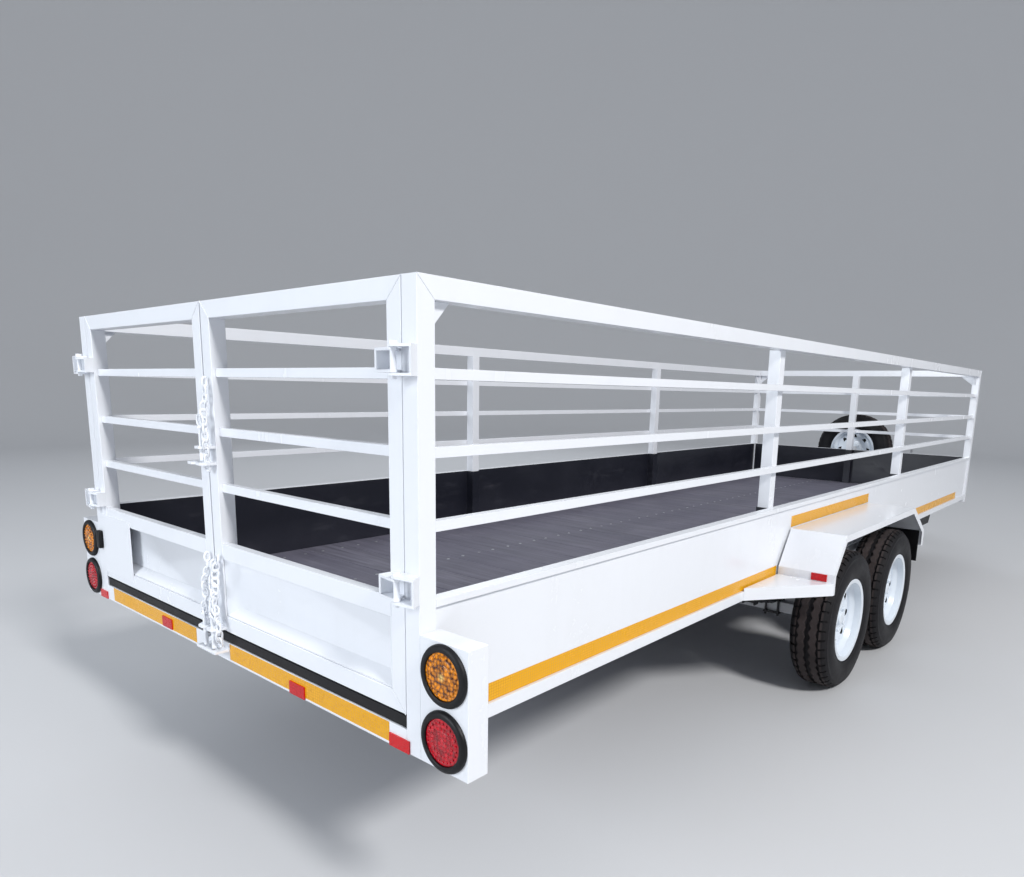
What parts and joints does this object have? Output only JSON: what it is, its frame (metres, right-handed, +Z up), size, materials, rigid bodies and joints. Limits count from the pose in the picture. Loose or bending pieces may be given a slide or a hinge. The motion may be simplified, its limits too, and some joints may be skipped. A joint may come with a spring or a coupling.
{
  "type": "livestock trailer",
  "caption": "Tandem-axle open livestock trailer: railed body on low sheet walls, plank floor, twin rear gates with drop pins, flat fenders, spare wheel, A-frame drawbar.",
  "frame": {"origin": "on the ground, at the centre of the part's plan outline", "axes": "+X forward to the coupler, +Y to the trailer's left, +Z up"},
  "size_m": [7.336, 2.4172, 1.583],
  "materials": {
    "white_paint": "gloss",
    "black_liner": "satin",
    "floor_board": "matte",
    "tyre_rubber": "matte",
    "rim_paint": "gloss",
    "black_rubber": "matte",
    "amber_lens": "gloss",
    "red_lens": "gloss",
    "tape_yellow": "gloss",
    "chassis_paint": "satin",
    "zinc": "satin",
    "black_steel": "satin"
  },
  "bodies": {
    "frame": {"amber_lenses": "amber_lens", "axles": "chassis_paint", "body_rails": "white_paint", "cap_rails": "white_paint", "corner_posts": "white_paint", "coupler_body": "white_paint", "cross_members": "chassis_paint", "drawbar_beams": "chassis_paint", "fenders": "white_paint", "floor_planks": "floor_board", "front_wall": "white_paint", "gusset_plates": "white_paint", "hinge_brackets": "white_paint", "jockey_tube": "zinc", "lamp_bases": "black_rubber", "lamp_boxes": "white_paint", "leaf_springs": "black_steel", "main_rails": "chassis_paint", "mudflaps": "black_rubber", "rear_sill": "white_paint", "red_lenses": "red_lens", "red_reflectors": "red_lens", "rockers": "black_steel", "side_posts": "white_paint", "side_sills": "white_paint", "side_walls": "white_paint", "sill_strip": "black_rubber", "spare_carrier": "chassis_paint", "spare_rim": "rim_paint", "spare_tyre": "tyre_rubber", "spring_hangers": "black_steel", "tape_strips": "tape_yellow", "top_rails": "white_paint", "u_bolts": "black_steel", "wall_liners": "black_liner"},
    "gate_right": {"chain_right": "zinc", "gate_bars_right": "white_paint", "gate_fittings_right": "white_paint", "gate_frame_right": "white_paint", "gate_panel_right": "white_paint"},
    "gate_left": {"chain_left": "zinc", "gate_bars_left": "white_paint", "gate_fittings_left": "white_paint", "gate_frame_left": "white_paint", "gate_panel_left": "white_paint", "plate_holder": "white_paint"},
    "upper_pin": {"latch_pin_upper": "zinc"},
    "lower_pin_right": {"latch_pin_right": "zinc"},
    "lower_pin_left": {"latch_pin_left": "zinc"},
    "jockey_leg_body": {"jockey_leg": "zinc"},
    "jockey_wheel_body": {"jockey_wheel": "black_rubber"},
    "lever": {"coupler_lever": "zinc"},
    "wheel_rear_right": {"rim_rear_right": "rim_paint", "tyre_rear_right": "tyre_rubber"},
    "wheel_rear_left": {"rim_rear_left": "rim_paint", "tyre_rear_left": "tyre_rubber"},
    "wheel_front_right": {"rim_front_right": "rim_paint", "tyre_front_right": "tyre_rubber"},
    "wheel_front_left": {"rim_front_left": "rim_paint", "tyre_front_left": "tyre_rubber"}
  },
  "joints": [
    {"name": "gate_right_hinge", "type": "hinge", "parent": "frame", "child": "gate_right", "pos_m": [-3.65, -0.92, 1.1], "axis": [0, 0, 1], "range_deg": [0, 150]},
    {"name": "gate_left_hinge", "type": "hinge", "parent": "frame", "child": "gate_left", "pos_m": [-3.65, 0.92, 1.1], "axis": [0, 0, -1], "range_deg": [0, 150]},
    {"name": "upper_pin_drop", "type": "slide", "parent": "gate_right", "child": "upper_pin", "axis": [0, 0, 1], "range_m": [-0.045, 0]},
    {"name": "lower_pin_right_drop", "type": "slide", "parent": "gate_right", "child": "lower_pin_right", "axis": [0, 0, 1], "range_m": [-0.03, 0]},
    {"name": "lower_pin_left_drop", "type": "slide", "parent": "gate_left", "child": "lower_pin_left", "axis": [0, 0, 1], "range_m": [-0.03, 0]},
    {"name": "wheel_rear_right_spin", "type": "hinge", "parent": "frame", "child": "wheel_rear_right", "pos_m": [-1.202, -1.0961, 0.325], "axis": [0, 1, 0], "continuous": true},
    {"name": "wheel_rear_left_spin", "type": "hinge", "parent": "frame", "child": "wheel_rear_left", "pos_m": [-1.202, 1.0961, 0.325], "axis": [0, 1, 0], "continuous": true},
    {"name": "wheel_front_right_spin", "type": "hinge", "parent": "frame", "child": "wheel_front_right", "pos_m": [-0.461, -1.0961, 0.325], "axis": [0, 1, 0], "continuous": true},
    {"name": "wheel_front_left_spin", "type": "hinge", "parent": "frame", "child": "wheel_front_left", "pos_m": [-0.461, 1.0961, 0.325], "axis": [0, 1, 0], "continuous": true},
    {"name": "jockey_slide", "type": "slide", "parent": "frame", "child": "jockey_leg_body", "axis": [0, 0, 1], "range_m": [0, 0.12]},
    {"name": "jockey_wheel_spin", "type": "hinge", "parent": "jockey_leg_body", "child": "jockey_wheel_body", "pos_m": [3.198, -0.25, 0.1], "axis": [0, 1, 0], "continuous": true},
    {"name": "lever_lift", "type": "hinge", "parent": "frame", "child": "lever", "pos_m": [3.558, 0, 0.532], "axis": [0, 1, 0], "range_deg": [0, 55]}
  ]
}
